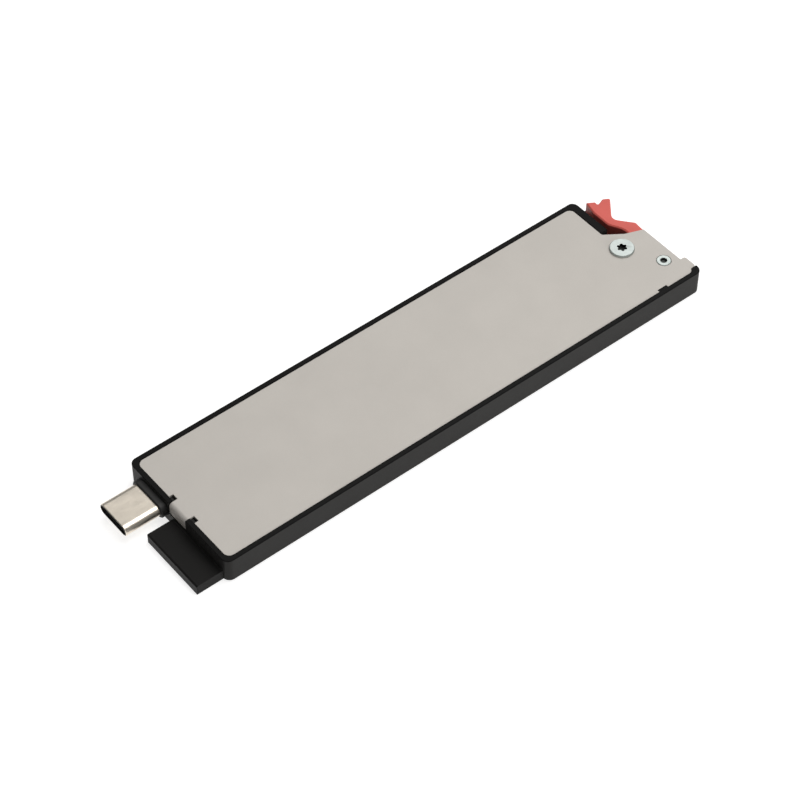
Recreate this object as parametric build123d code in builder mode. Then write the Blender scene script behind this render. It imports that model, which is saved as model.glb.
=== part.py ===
"""Removable canister for one 80 mm solid state drive card.

A flat moulded tray is closed by a folded sheet metal cover. One end carries a plug and a guide
tongue, the other a lever that swings out to pull the canister from its bay. The origin is the
middle of the tray's underside. +X runs along the tray to the lever's end, +Z is up.
"""

import os

from build123d import *

# Tray, whose length, width and height follow from what it holds
tray_corner_radius = 1.5
floor_thickness = 0.8
side_rim = 1.0
plug_end_rim = 1.0
lever_end_rim = 1.15
ledge_width = 0.75
underside_chamfer = 0.2
rim_chamfer = 0.12
cut_overrun = 1.0

# Guide tongue
tongue_length = 5.65
tongue_height = 2.25
tongue_inset = 1.4
tongue_plug_gap = 1.045
tongue_corner_radius = 1.0
tongue_lead_in = 0.3

# Cover sheet
sheet_thickness = 0.6
cover_recess = 0.15
cover_clearance = 0.1
cover_corner_radius = 1.3
fold_inner_radius = 0.25
flange_width = 5.0
flange_drop = 2.6
flange_inset = 0.1
flange_collar_gap = 0.195
relief_width = 1.4
relief_depth = 0.9
lug_from_end = 9.25
lug_width = 2.3
lug_depth = 0.65
end_tab_inset = 0.1
end_tab_setback = 1.9
end_tab_width = 3.1
end_tab_radius = 0.5

# Cut-out of the cover for the lever
recess_lap = 0.75
recess_offset = 4.6
recess_bend_length = 5.0
recess_bend_offset = 2.0
tab_corner_offset = 0.6
recess_corner_radius = 0.6
recess_bend_radius = 1.6

# Cover screw and its insert
cover_screw_setback = 0.35
cover_screw_offset = 0.8
screw_head_radius = 2.5
screw_head_height = 0.5
screw_head_chamfer = 0.15
screw_shank_radius = 1.2
screw_length = 3.4
screw_hole_clearance = 0.25
insert_wall = 0.45
insert_height = 2.9
insert_flange = 0.35
insert_flange_height = 0.4
thread_clearance = 0.03
boss_wall = 0.7
drive_lobe_count = 6
drive_core_radius = 0.75
drive_lobe_radius = 0.28
drive_depth = 0.8

# Lever and its pin
pivot_from_end = 4.0
pivot_inset = 6.8
pin_radius = 1.45
pin_running_clearance = 0.05
pin_head_radius = 2.2
pin_head_height = 0.4
pin_head_sink = 0.05
pin_proud = 0.05
pin_dimple_radius = 0.72
pin_dimple_depth = 0.6
pin_edge_chamfer = 0.12
press_clearance = 0.02
washer_radius = 3.0
washer_thickness = 0.25
washer_gap = 0.05
lever_tip_inset = 0.95
lever_breadth = 4.3
lever_top_gap = 0.3
lever_hub_radius = 3.3
hub_clearance = 0.6
lever_edge_chamfer = 0.25
finger_notch_offset = 10.2
finger_notch_radius = 6.0
finger_notch_depth = 1.0

# Outline of the lever from the pin, as shares of its breadth in x and its reach in y, and the
# rounding of each corner as a share of its breadth
lever_outline_shares = [
    (-0.10, 1.000),
    (0.28, 0.955),
    (0.26, 0.912),
    (0.68, 0.942),
    (1.00, 0.908),
    (0.13, 0.700),
    (0.84, 0.535),
    (0.80, 0.450),
    (0.74, 0.030),
    (-0.74, 0.030),
    (0.18, 0.515),
    (-0.26, 0.670),
    (-0.26, 0.855),
]
lever_rounding_shares = [0.06, 0.06, 0.06, 0.06, 0.10, 0.35, 0.16, 0.20, 0, 0, 0.8, 0.5, 0.3]

# Bay of the lever
bulkhead_thickness = 1.0
return_wall_thickness = 1.55
return_wall_setback = 0.3
post_length = 1.8
post_clearance = 0.3

# Plug
plug_width = 8.25
plug_height = 2.4
plug_wall = 0.3
plug_reach = 8.8
plug_root_length = 4.43
plug_inset = 7.58
plug_tip_bevel = 0.12
collar_reach = 1.35
collar_side_wall = 0.6
collar_top_wall = 0.45
collar_clearance = 0.05
collar_chamfer = 0.2
insulator_from_tip = 0.3
insulator_from_rear = 0.5
mouth_top_wall = 0.3
mouth_depth = 5.6
plug_contact_pitch = 0.5
plug_contact_margin = 0.5
plug_contact_width = 0.25
plug_contact_thickness = 0.12
plug_contact_from_mouth = 0.9
plug_contact_bow = 0.2
plug_tail_length = 1.3
latch_thickness = 0.2
latch_arm_width = 0.3
latch_skin = 0.025
latch_from_tip = 1.2
latch_hook = 0.35
latch_hook_length = 0.9
latch_bridge_width = 0.5

# Adapter board
board_thickness = 0.8
board_length = 16.85
board_rise = 1.7
board_end_gap = 1.0
board_side_gap = 0.85
board_notch_gap = 0.4
board_screw_inset = 2.0
board_screw_head_radius = 1.5
board_screw_head_height = 0.6
board_screw_shank_radius = 0.75
board_screw_length = 2.0
board_boss_wall = 0.9
board_corner_radius = 0.5
chip_width = 7.0
chip_height = 0.9
chip_offset = 3.2
crystal_length = 3.2
crystal_width = 2.5
crystal_height = 0.7
capacitor_length = 1.0
capacitor_width = 0.5
capacitor_height = 0.5
capacitor_pitch = 1.2
component_gap = 1.2

# Drive card and its socket
card_length = 80.0
card_width = 22.0
card_side_room = 2.25
card_end_gap = 4.7
card_notch_radius = 1.75
card_screw_head_radius = 1.9
card_screw_head_height = 0.7
card_screw_shank_radius = 0.9
card_screw_length = 2.0
card_insert_height = 1.6
card_rib_clearance = 0.15
card_rib_length = 1.2
key_offset = 6.1
key_width = 1.2
key_depth = 3.5
contact_pitch = 0.5
contact_margin = 1.0
finger_width = 0.35
finger_length = 2.4
finger_thickness = 0.03
socket_web = 1.0
socket_side_wall = 1.0
socket_roof = 1.15
socket_grip = 4.0
socket_board_grip = 2.4
socket_clearance = 0.05
socket_contact_width = 0.22
socket_contact_thickness = 0.15
socket_tail_length = 0.9
package_height = 1.2
controller_length = 12.0
controller_width = 16.0
controller_from_socket = 10.0
memory_length = 7.5
memory_width = 13.0
flash_width = 14.0
flash_end_room = 7.9
flash_count = 2
package_gap = 2.5
flash_gap = 1.6
power_chip_width = 3.5
power_chip_height = 0.7
power_chip_inset = 4.5
pad_thickness = 0.3
pad_margin = 0.5

# Tray round the drive card, the adapter board and the lever's bay
tray_length = (
    plug_end_rim + ledge_width + board_end_gap + board_length + socket_web + card_length
    + card_end_gap + bulkhead_thickness + hub_clearance + lever_hub_radius + pivot_from_end
)
tray_width = card_width + 2 * (card_side_room + ledge_width + side_rim)
tray_height = (
    floor_thickness + board_rise + board_thickness + package_height + pad_thickness
    + sheet_thickness + cover_recess
)

# Places worked out from the sizes above
half_length = tray_length / 2
half_width = tray_width / 2
cover_top = tray_height - cover_recess
cover_seat = cover_top - sheet_thickness
cover_half_width = half_width - side_rim - cover_clearance
cover_plug_edge = -half_length + plug_end_rim + cover_clearance
cover_lever_edge = half_length - lever_end_rim - cover_clearance
inner_half_width = half_width - side_rim - ledge_width
bay_plug_end = -half_length + plug_end_rim + ledge_width
bulkhead_lever_face = half_length - pivot_from_end - lever_hub_radius - hub_clearance
bulkhead_card_face = bulkhead_lever_face - bulkhead_thickness
recess_edge = bulkhead_lever_face - recess_lap
return_wall_face = recess_edge + cover_clearance + return_wall_thickness
return_wall_end = recess_offset + return_wall_setback
wall_height = cover_seat - floor_thickness

flange_outer = -half_length + flange_inset
flange_inner = flange_outer + sheet_thickness
flange_low = cover_top - flange_drop
flange_pocket = flange_inner + cover_clearance
flange_slot_width = flange_width + 2 * cover_clearance
fold_outer_radius = fold_inner_radius + sheet_thickness

package_top = cover_seat - pad_thickness
board_top = package_top - package_height
board_low = board_top - board_thickness
plug_axis_height = board_top - board_thickness / 2

cover_screw_x = bulkhead_lever_face - cover_screw_setback
cover_screw_y = -cover_screw_offset
screw_hole_radius = screw_shank_radius + screw_hole_clearance
insert_bore_radius = screw_shank_radius + thread_clearance
insert_radius = insert_bore_radius + insert_wall
cover_boss_radius = insert_radius + insert_flange + boss_wall / 2

pivot_x = half_length - pivot_from_end
pivot_y = -half_width + pivot_inset
lever_reach = half_width - lever_tip_inset - pivot_y
lever_bore_radius = pin_radius + pin_running_clearance
lever_low = floor_thickness + washer_thickness + washer_gap
lever_high = cover_seat - lever_top_gap
post_face = pivot_y - lever_hub_radius - post_clearance
post_start = half_length - post_length
end_tab_near_side = -half_width + end_tab_setback

plug_tip = -half_length - plug_reach
plug_length = plug_reach + plug_root_length
plug_rear = plug_tip + plug_length
plug_y = half_width - plug_inset
plug_inner_width = plug_width - 2 * plug_wall
plug_inner_height = plug_height - 2 * plug_wall
collar_face = -half_length - collar_reach
collar_width = plug_width + 2 * collar_side_wall
collar_height = plug_height + 2 * collar_top_wall
flange_y = plug_y - (collar_width + flange_width) / 2 - flange_collar_gap
tongue_near_side = -half_width + tongue_inset
tongue_far_side = plug_y - collar_width / 2 - tongue_plug_gap
insulator_tip = plug_tip + insulator_from_tip
insulator_rear = plug_rear - insulator_from_rear
mouth_width = plug_inner_width - 2 * (latch_arm_width + latch_skin)
mouth_height = plug_inner_height - 2 * mouth_top_wall
mouth_end = insulator_tip + mouth_depth

board_plug_end = bay_plug_end + board_end_gap
board_card_end = board_plug_end + board_length
card_near_end = board_card_end + socket_web
card_far_end = card_near_end + card_length
socket_front = card_near_end + socket_grip
socket_back = board_card_end - socket_board_grip
board_half_width = inner_half_width - board_side_gap
board_notch_end = plug_rear + socket_clearance
board_notch_width = plug_width + 2 * board_notch_gap
board_boss_radius = board_screw_shank_radius + board_boss_wall
board_screw_far_x = socket_back - socket_tail_length - board_boss_radius - socket_clearance
board_screw_places = [
    (board_plug_end + board_screw_inset, -board_half_width + board_screw_inset),
    (board_screw_far_x, board_half_width - board_screw_inset),
]
boss_height = board_low - floor_thickness

card_insert_radius = card_screw_shank_radius + thread_clearance + insert_wall
card_boss_radius = card_insert_radius + boss_wall
controller_x = card_near_end + controller_from_socket + controller_length / 2
memory_x = controller_x + (controller_length + memory_length) / 2 + package_gap
flash_start = memory_x + memory_length / 2 + package_gap
flash_pitch = (card_far_end - flash_end_room - flash_start + flash_gap) / flash_count
flash_length = flash_pitch - flash_gap
flash_x = flash_start + flash_length / 2 + flash_pitch * (flash_count - 1) / 2
pad_start = controller_x - controller_length / 2 + pad_margin
pad_end = flash_start + flash_pitch * flash_count - flash_gap - pad_margin
contact_count = round((card_width - 2 * contact_margin) / contact_pitch)
half_pitches = [(i - (contact_count - 1) / 2) * contact_pitch for i in range(contact_count)]
key_margin = (key_width + contact_pitch) / 2
contact_places = [y for y in half_pitches if abs(y + key_offset) > key_margin]
plug_contact_count = round((mouth_width - 2 * plug_contact_margin) / plug_contact_pitch)
plug_contact_places = [
    plug_y + (i - (plug_contact_count - 1) / 2) * plug_contact_pitch
    for i in range(plug_contact_count)
]

os.makedirs("parts", exist_ok=True)


# Cover outline, grown by a margin for the pocket that it lies in
def cover_blank(margin):
    """Draws the cover's main rectangle with its four corners rounded."""
    length = cover_lever_edge - cover_plug_edge
    with Locations(((cover_lever_edge + cover_plug_edge) / 2, 0)):
        RectangleRounded(
            length + 2 * margin,
            2 * (cover_half_width + margin),
            cover_corner_radius + margin,
        )


# Tray
with BuildPart() as tray:
    with BuildSketch():
        RectangleRounded(tray_length, tray_width, tray_corner_radius)
    extrude(amount=tray_height)
    chamfer(tray.faces().sort_by(Axis.Z)[0].edges(), underside_chamfer)
    chamfer(tray.faces().sort_by(Axis.Z)[-1].edges(), rim_chamfer)

    # Room for the boards, between the plug end wall and the bulkhead
    with BuildSketch(Plane.XY.offset(floor_thickness)):
        with Locations(((bay_plug_end + bulkhead_card_face) / 2, 0)):
            RectangleRounded(
                bulkhead_card_face - bay_plug_end, 2 * inner_half_width, tray_corner_radius / 2
            )
    extrude(amount=tray_height, mode=Mode.SUBTRACT)

    # Bay of the lever, open at the end and on the far side
    with BuildSketch(Plane.XY.offset(floor_thickness)):
        with BuildLine():
            Polyline(
                (bulkhead_lever_face, -inner_half_width),
                (post_start, -inner_half_width),
                (post_start, post_face),
                (half_length + cut_overrun, post_face),
                (half_length + cut_overrun, half_width + cut_overrun),
                (return_wall_face, half_width + cut_overrun),
                (return_wall_face, return_wall_end),
                (bulkhead_lever_face, return_wall_end),
                close=True,
            )
        make_face()
    extrude(amount=wall_height, mode=Mode.SUBTRACT)

    # Pocket that the cover lies in, open where the lever swings. The far wall turns in beside
    # the cover's cut-out and is left standing.
    with BuildSketch(Plane.XY.offset(cover_seat)) as cover_pocket:
        cover_blank(cover_clearance)
        with BuildLine():
            Polyline(
                (return_wall_face, 0),
                (cover_lever_edge, end_tab_near_side - cover_clearance),
                (half_length + cut_overrun, end_tab_near_side - cover_clearance),
                (half_length + cut_overrun, half_width + cut_overrun),
                (return_wall_face, half_width + cut_overrun),
                close=True,
            )
        make_face()
        with Locations((return_wall_face, return_wall_end)):
            Rectangle(
                return_wall_thickness,
                half_width - return_wall_end,
                align=(Align.MAX, Align.MIN),
                mode=Mode.SUBTRACT,
            )
        pocket_corner = (recess_edge + cover_clearance, cover_half_width + cover_clearance, 0)
        fillet(
            cover_pocket.vertices().sort_by_distance(pocket_corner)[0],
            cover_corner_radius + cover_clearance,
        )
    extrude(amount=tray_height, mode=Mode.SUBTRACT)

    # Rounded outer corner of that wall
    with BuildSketch(Plane.XY.offset(floor_thickness)):
        with Locations((return_wall_face, half_width)):
            Rectangle(2 * tray_corner_radius, 2 * tray_corner_radius)
        with Locations((return_wall_face - tray_corner_radius, half_width - tray_corner_radius)):
            Circle(tray_corner_radius, mode=Mode.SUBTRACT)
    extrude(amount=tray_height, mode=Mode.SUBTRACT)

    # Pocket and slot of the cover's folded flange
    with BuildSketch(Plane.XY.offset(flange_low - cover_clearance)):
        with Locations((-half_length - cut_overrun, flange_y)):
            Rectangle(
                flange_pocket + half_length + cut_overrun,
                flange_slot_width,
                align=(Align.MIN, Align.CENTER),
            )
    extrude(amount=tray_height, mode=Mode.SUBTRACT)
    with BuildSketch(Plane.XY.offset(cover_seat)):
        with Locations((-half_length - cut_overrun, flange_y)):
            Rectangle(
                cover_plug_edge + half_length + cut_overrun,
                flange_slot_width,
                align=(Align.MIN, Align.CENTER),
            )
    extrude(amount=tray_height, mode=Mode.SUBTRACT)

    # Relief for the inside of the flange's fold
    with BuildSketch(Plane.XZ.offset(-flange_y - flange_slot_width / 2)):
        with BuildLine():
            Polyline(
                (flange_pocket, cover_seat - fold_inner_radius),
                (flange_pocket, cover_seat),
                (flange_pocket + fold_inner_radius, cover_seat),
                close=True,
            )
        make_face()
    extrude(amount=flange_slot_width, mode=Mode.SUBTRACT)

    # Notch in the floor's edge for a finger at the lever's scoop
    with BuildSketch():
        with Locations(
            (half_length + finger_notch_radius - finger_notch_depth, finger_notch_offset)
        ):
            Circle(finger_notch_radius)
    extrude(amount=floor_thickness, mode=Mode.SUBTRACT)

    # Lug that locates the cover endways
    with BuildSketch(Plane.XY.offset(cover_seat)):
        with Locations((half_length - lug_from_end, -half_width + side_rim / 2)):
            Rectangle(
                lug_width - 2 * cover_clearance,
                side_rim / 2 + lug_depth,
                align=(Align.CENTER, Align.MIN),
            )
    extrude(amount=cover_top - cover_seat)

    # Guide tongue
    with BuildSketch():
        with BuildLine():
            FilletPolyline(
                (-half_length + plug_end_rim, tongue_near_side),
                (-half_length + plug_end_rim, tongue_far_side),
                (-half_length - tongue_length, tongue_far_side),
                (-half_length - tongue_length, tongue_near_side),
                radius=[0, tongue_corner_radius, tongue_lead_in, 0],
                close=True,
            )
        make_face()
    extrude(amount=tongue_height)
    tongue_tip = tray.faces().sort_by(Axis.X)[0]
    chamfer(tongue_tip.edges().group_by(Axis.Z)[-1], tongue_lead_in)

    # Bosses on the floor
    with Locations((cover_screw_x, cover_screw_y, floor_thickness)):
        Cylinder(
            cover_boss_radius, wall_height, align=(Align.CENTER, Align.CENTER, Align.MIN)
        )
    with Locations((card_far_end, 0, floor_thickness)):
        Cylinder(card_boss_radius, boss_height, align=(Align.CENTER, Align.CENTER, Align.MIN))
    with BuildSketch(Plane.XY.offset(floor_thickness)):
        with Locations(board_screw_places):
            Circle(board_boss_radius)
    extrude(amount=boss_height)

    # Ribs that carry the card and hold it sideways
    for rib_share in (0.3, 0.7):
        rib_x = card_near_end + rib_share * card_length
        with BuildSketch(Plane.XY.offset(floor_thickness)):
            with Locations((rib_x, 0)):
                Rectangle(card_rib_length, 2 * inner_half_width)
        extrude(amount=boss_height)
        for side in (-1, 1):
            rib_width = inner_half_width - card_width / 2 - card_rib_clearance
            rib_y = side * (inner_half_width - rib_width / 2)
            with BuildSketch(Plane.XY.offset(floor_thickness)):
                with Locations((rib_x, rib_y)):
                    Rectangle(card_rib_length, rib_width)
            extrude(amount=boss_height + board_thickness)

    # Holes of the inserts, screws, pin and plug collar
    with Locations((cover_screw_x, cover_screw_y, cover_seat)):
        CounterBoreHole(
            radius=insert_radius,
            counter_bore_radius=insert_radius + insert_flange,
            counter_bore_depth=insert_flange_height,
            depth=insert_height,
        )
    with Locations((card_far_end, 0, board_low)):
        Hole(radius=card_insert_radius, depth=card_insert_height)
    with Locations([(x, y, board_low) for x, y in board_screw_places]):
        Hole(radius=board_screw_shank_radius, depth=board_screw_length - board_thickness)
    with Locations((pivot_x, pivot_y, 0)):
        Cylinder(
            pin_radius + press_clearance,
            2 * floor_thickness,
            mode=Mode.SUBTRACT,
        )
        Cylinder(
            pin_head_radius + press_clearance,
            2 * (pin_head_height + pin_head_sink),
            mode=Mode.SUBTRACT,
        )
    with BuildSketch(Plane.YZ.offset(-half_length - cut_overrun)):
        with Locations((plug_y, plug_axis_height)):
            SlotOverall(
                collar_width + 2 * collar_clearance, collar_height + 2 * collar_clearance
            )
    extrude(amount=bay_plug_end + half_length + 2 * cut_overrun, mode=Mode.SUBTRACT)

tray.part.label = "tray"
export_step(tray.part, "parts/tray.step")


# Cover: blank with the lever's cut-out, reliefs and a folded flange
with BuildPart() as top_cover:
    with BuildSketch(Plane.XY.offset(cover_seat)) as cover_outline:
        cover_blank(0)
        # Tab that lies on the corner post
        with Locations((post_start, end_tab_near_side)):
            Rectangle(
                half_length - end_tab_inset - post_start,
                end_tab_width,
                align=(Align.MIN, Align.MIN),
            )
        fillet(cover_outline.vertices().group_by(Axis.X)[-1], end_tab_radius)
        with BuildLine():
            FilletPolyline(
                (recess_edge, half_width + cut_overrun),
                (recess_edge, recess_offset),
                (half_length - recess_bend_length, recess_bend_offset),
                (cover_lever_edge, tab_corner_offset),
                (half_length + cut_overrun, tab_corner_offset),
                (half_length + cut_overrun, half_width + cut_overrun),
                radius=[0, recess_corner_radius, recess_bend_radius, 0, 0, 0],
                close=True,
            )
        make_face(mode=Mode.SUBTRACT)
        recess_corner = (recess_edge, cover_half_width, 0)
        fillet(
            cover_outline.vertices().sort_by_distance(recess_corner)[0], cover_corner_radius
        )
        # Reliefs on both sides of the flange
        for side in (-1, 1):
            relief_y = flange_y + side * (flange_width + relief_width) / 2
            with Locations((cover_plug_edge, relief_y)):
                Rectangle(2 * relief_depth, relief_width, mode=Mode.SUBTRACT)
        # Notch for the tray's lug
        with Locations((half_length - lug_from_end, -cover_half_width)):
            Rectangle(lug_width, 2 * (lug_depth - cover_clearance), mode=Mode.SUBTRACT)
    extrude(amount=sheet_thickness)

    # Flange folded down over the end wall
    with BuildSketch(Plane.XZ.offset(-flange_y - flange_width / 2)):
        with BuildLine():
            FilletPolyline(
                (cover_plug_edge, cover_seat),
                (cover_plug_edge, cover_top),
                (flange_outer, cover_top),
                (flange_outer, flange_low),
                (flange_inner, flange_low),
                (flange_inner, cover_seat),
                radius=[0, 0, fold_outer_radius, 0, 0, fold_inner_radius],
                close=True,
            )
        make_face()
    extrude(amount=flange_width)

    with Locations((cover_screw_x, cover_screw_y, cover_top)):
        Hole(radius=screw_hole_radius)
    with Locations((pivot_x, pivot_y, cover_top)):
        Hole(radius=lever_bore_radius)

top_cover.part.label = "top_cover"
export_step(top_cover.part, "parts/top_cover.step")


# Cover screw with a lobed recess
with BuildPart() as cover_screw:
    with BuildSketch(Plane.XY.offset(cover_top)):
        with Locations((cover_screw_x, cover_screw_y)):
            Circle(screw_head_radius)
    extrude(amount=screw_head_height)
    chamfer(cover_screw.faces().sort_by(Axis.Z)[-1].edges(), screw_head_chamfer)
    with BuildSketch(Plane.XY.offset(cover_top - screw_length)):
        with Locations((cover_screw_x, cover_screw_y)):
            Circle(screw_shank_radius)
    extrude(amount=screw_length)
    chamfer(cover_screw.faces().sort_by(Axis.Z)[0].edges(), screw_head_chamfer)
    with BuildSketch(Plane.XY.offset(cover_top + screw_head_height)):
        with Locations((cover_screw_x, cover_screw_y)):
            Circle(drive_core_radius)
            with PolarLocations(drive_core_radius, drive_lobe_count):
                Circle(drive_lobe_radius)
    extrude(amount=-drive_depth, mode=Mode.SUBTRACT)

cover_screw.part.label = "cover_screw"
export_step(cover_screw.part, "parts/cover_screw.step")


# Brass insert of the cover screw, its flange flush with the cover's seat
with BuildPart() as cover_screw_insert:
    with BuildSketch(Plane.XY.offset(cover_seat)):
        with Locations((cover_screw_x, cover_screw_y)):
            Circle(insert_radius + insert_flange)
    extrude(amount=-insert_flange_height)
    with BuildSketch(Plane.XY.offset(cover_seat)):
        with Locations((cover_screw_x, cover_screw_y)):
            Circle(insert_radius)
    extrude(amount=-insert_height)
    with Locations((cover_screw_x, cover_screw_y, cover_seat)):
        Hole(radius=insert_bore_radius)

cover_screw_insert.part.label = "cover_screw_insert"
export_step(cover_screw_insert.part, "parts/cover_screw_insert.step")


# Pivot pin, pressed in from the underside, its hollow top end standing in the cover's hole
with BuildPart() as pivot_pin:
    pin_top = cover_top + pin_proud
    with BuildSketch(Plane.XY.offset(pin_head_sink)):
        with Locations((pivot_x, pivot_y)):
            Circle(pin_head_radius)
    extrude(amount=pin_head_height)
    with BuildSketch(Plane.XY.offset(pin_head_sink)):
        with Locations((pivot_x, pivot_y)):
            Circle(pin_radius)
    extrude(amount=pin_top - pin_head_sink)
    chamfer(pivot_pin.faces().sort_by(Axis.Z)[-1].edges(), pin_edge_chamfer)
    with Locations((pivot_x, pivot_y, pin_top)):
        CounterSinkHole(
            radius=pin_dimple_radius - pin_edge_chamfer,
            counter_sink_radius=pin_dimple_radius,
            depth=pin_dimple_depth,
        )

pivot_pin.part.label = "pivot_pin"
export_step(pivot_pin.part, "parts/pivot_pin.step")


# Thin washer that the lever's hub turns on
with BuildPart() as lever_washer:
    with BuildSketch(Plane.XY.offset(floor_thickness)):
        with Locations((pivot_x, pivot_y)):
            Circle(washer_radius)
            Circle(pin_radius + press_clearance, mode=Mode.SUBTRACT)
    extrude(amount=washer_thickness)

lever_washer.part.label = "lever_washer"
export_step(lever_washer.part, "parts/lever_washer.step")


# Lever: forked end, finger scoop, foot, arm and hub in one moulding
with BuildPart() as latch_lever:
    outline = [
        (pivot_x + x_share * lever_breadth, pivot_y + y_share * lever_reach)
        for x_share, y_share in lever_outline_shares
    ]
    with BuildSketch(Plane.XY.offset(lever_low)):
        with BuildLine():
            FilletPolyline(
                *outline,
                radius=[share * lever_breadth for share in lever_rounding_shares],
                close=True,
            )
        make_face()
        with Locations((pivot_x, pivot_y)):
            Circle(lever_hub_radius)
    extrude(amount=lever_high - lever_low)
    chamfer(latch_lever.faces().sort_by(Axis.Z)[-1].edges(), lever_edge_chamfer)
    with Locations((pivot_x, pivot_y, lever_high)):
        Hole(radius=lever_bore_radius)

latch_lever.part.label = "latch_lever"
export_step(latch_lever.part, "parts/latch_lever.step")


# Plug shell, a drawn tube with a bevelled tip
with BuildPart() as plug_shell:
    with BuildSketch(Plane.YZ.offset(plug_tip)):
        with Locations((plug_y, plug_axis_height)):
            SlotOverall(plug_width, plug_height)
    extrude(amount=plug_length)
    chamfer(plug_shell.faces().sort_by(Axis.X)[0].edges(), plug_tip_bevel)
    with BuildSketch(Plane.YZ.offset(plug_tip)):
        with Locations((plug_y, plug_axis_height)):
            SlotOverall(plug_inner_width, plug_inner_height)
    extrude(amount=plug_length, mode=Mode.SUBTRACT)

plug_shell.part.label = "plug_shell"
export_step(plug_shell.part, "parts/plug_shell.step")


# Collar that seals the plug in the tray's end wall
with BuildPart() as plug_collar:
    with BuildSketch(Plane.YZ.offset(collar_face)):
        with Locations((plug_y, plug_axis_height)):
            SlotOverall(collar_width, collar_height)
    extrude(amount=bay_plug_end - collar_face)
    chamfer(plug_collar.faces().sort_by(Axis.X)[0].edges(), collar_chamfer)
    with BuildSketch(Plane.YZ.offset(collar_face)):
        with Locations((plug_y, plug_axis_height)):
            SlotOverall(plug_width, plug_height)
    extrude(amount=bay_plug_end - collar_face, mode=Mode.SUBTRACT)

plug_collar.part.label = "plug_collar"
export_step(plug_collar.part, "parts/plug_collar.step")


# Plug contacts: bowed spring tips in the mouth, tails on both faces of the adapter board
with BuildPart() as plug_contact_pair:
    tip_x = insulator_tip + plug_contact_from_mouth
    bow_x = tip_x + plug_contact_from_mouth
    step_x = insulator_rear + plug_contact_thickness
    with BuildSketch(Plane.XZ.offset(-plug_contact_width / 2)):
        for side in (-1, 1):
            wall_z = plug_axis_height + side * mouth_height / 2
            tip_z = wall_z - side * plug_contact_bow
            tail_z = plug_axis_height + side * board_thickness / 2
            thick = side * plug_contact_thickness
            with BuildLine():
                Polyline(
                    (tip_x, wall_z - thick),
                    (bow_x, tip_z - thick),
                    (mouth_end, wall_z),
                    (step_x, wall_z),
                    (step_x, tail_z),
                    (board_notch_end + plug_tail_length, tail_z),
                    (board_notch_end + plug_tail_length, tail_z + thick),
                    (step_x + plug_contact_thickness, tail_z + thick),
                    (step_x + plug_contact_thickness, wall_z + thick),
                    (mouth_end, wall_z + thick),
                    (bow_x, tip_z),
                    (tip_x, wall_z),
                    close=True,
                )
            make_face()
    extrude(amount=plug_contact_width)

with BuildPart() as plug_contacts:
    with Locations([(0, y, 0) for y in plug_contact_places]):
        add(plug_contact_pair.part)

plug_contacts.part.label = "plug_contacts"
export_step(plug_contacts.part, "parts/plug_contacts.step")


# Latch plate of the plug: a bridge behind the insulator and two hooked arms beside the mouth
with BuildPart() as plug_latch_plate:
    latch_half_width = mouth_width / 2 + latch_arm_width
    hook_x = plug_tip + latch_from_tip
    with BuildSketch(Plane.XY.offset(plug_axis_height - latch_thickness / 2)):
        with Locations((insulator_rear, plug_y)):
            Rectangle(
                latch_bridge_width, 2 * latch_half_width, align=(Align.MIN, Align.CENTER)
            )
        for side in (-1, 1):
            arm_y = plug_y + side * (latch_half_width - latch_arm_width / 2)
            with Locations(((hook_x + insulator_rear) / 2, arm_y)):
                Rectangle(insulator_rear - hook_x, latch_arm_width)
            mouth_y = plug_y + side * mouth_width / 2
            with BuildLine():
                Polyline(
                    (hook_x, mouth_y),
                    (hook_x + latch_hook_length / 2, mouth_y - side * latch_hook),
                    (hook_x + latch_hook_length, mouth_y),
                    close=True,
                )
            make_face()
    extrude(amount=latch_thickness)

plug_latch_plate.part.label = "plug_latch_plate"
export_step(plug_latch_plate.part, "parts/plug_latch_plate.step")


# Insulator moulded round the contacts and the latch plate
with BuildPart() as plug_insulator:
    with BuildSketch(Plane.YZ.offset(insulator_tip)):
        with Locations((plug_y, plug_axis_height)):
            SlotOverall(plug_inner_width, plug_inner_height)
    extrude(amount=insulator_rear - insulator_tip)
    with BuildSketch(Plane.YZ.offset(insulator_tip)):
        with Locations((plug_y, plug_axis_height)):
            Rectangle(mouth_width, mouth_height)
    extrude(amount=mouth_depth, mode=Mode.SUBTRACT)
    add(plug_contacts.part, mode=Mode.SUBTRACT)
    add(plug_latch_plate.part, mode=Mode.SUBTRACT)

plug_insulator.part.label = "plug_insulator"
export_step(plug_insulator.part, "parts/plug_insulator.step")


# Adapter board with a notch for the plug
with BuildPart() as adapter_board:
    with BuildSketch(Plane.XY.offset(board_low)):
        with Locations(((board_plug_end + board_card_end) / 2, 0)):
            RectangleRounded(
                board_card_end - board_plug_end, 2 * board_half_width, board_corner_radius
            )
        with Locations((board_plug_end, plug_y)):
            Rectangle(
                2 * (board_notch_end - board_plug_end), board_notch_width, mode=Mode.SUBTRACT
            )
        with Locations(board_screw_places):
            Circle(board_screw_shank_radius + thread_clearance, mode=Mode.SUBTRACT)
    extrude(amount=board_thickness)

adapter_board.part.label = "adapter_board"
export_step(adapter_board.part, "parts/adapter_board.step")


# Screws of the adapter board
with BuildPart() as adapter_board_screws:
    with BuildSketch(Plane.XY.offset(board_top)):
        with Locations(board_screw_places):
            Circle(board_screw_head_radius)
    extrude(amount=board_screw_head_height)
    with BuildSketch(Plane.XY.offset(board_top)):
        with Locations(board_screw_places):
            Circle(board_screw_shank_radius)
    extrude(amount=-board_screw_length)

adapter_board_screws.part.label = "adapter_board_screws"
export_step(adapter_board_screws.part, "parts/adapter_board_screws.step")


# Chip, crystal and small parts of the adapter board
bridge_x = (board_notch_end + plug_tail_length + socket_back - socket_tail_length) / 2
chip_y = -chip_offset
with BuildPart() as bridge_chip:
    with Locations((bridge_x, chip_y, board_top)):
        Box(
            chip_width,
            chip_width,
            chip_height,
            align=(Align.CENTER, Align.CENTER, Align.MIN),
        )

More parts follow.
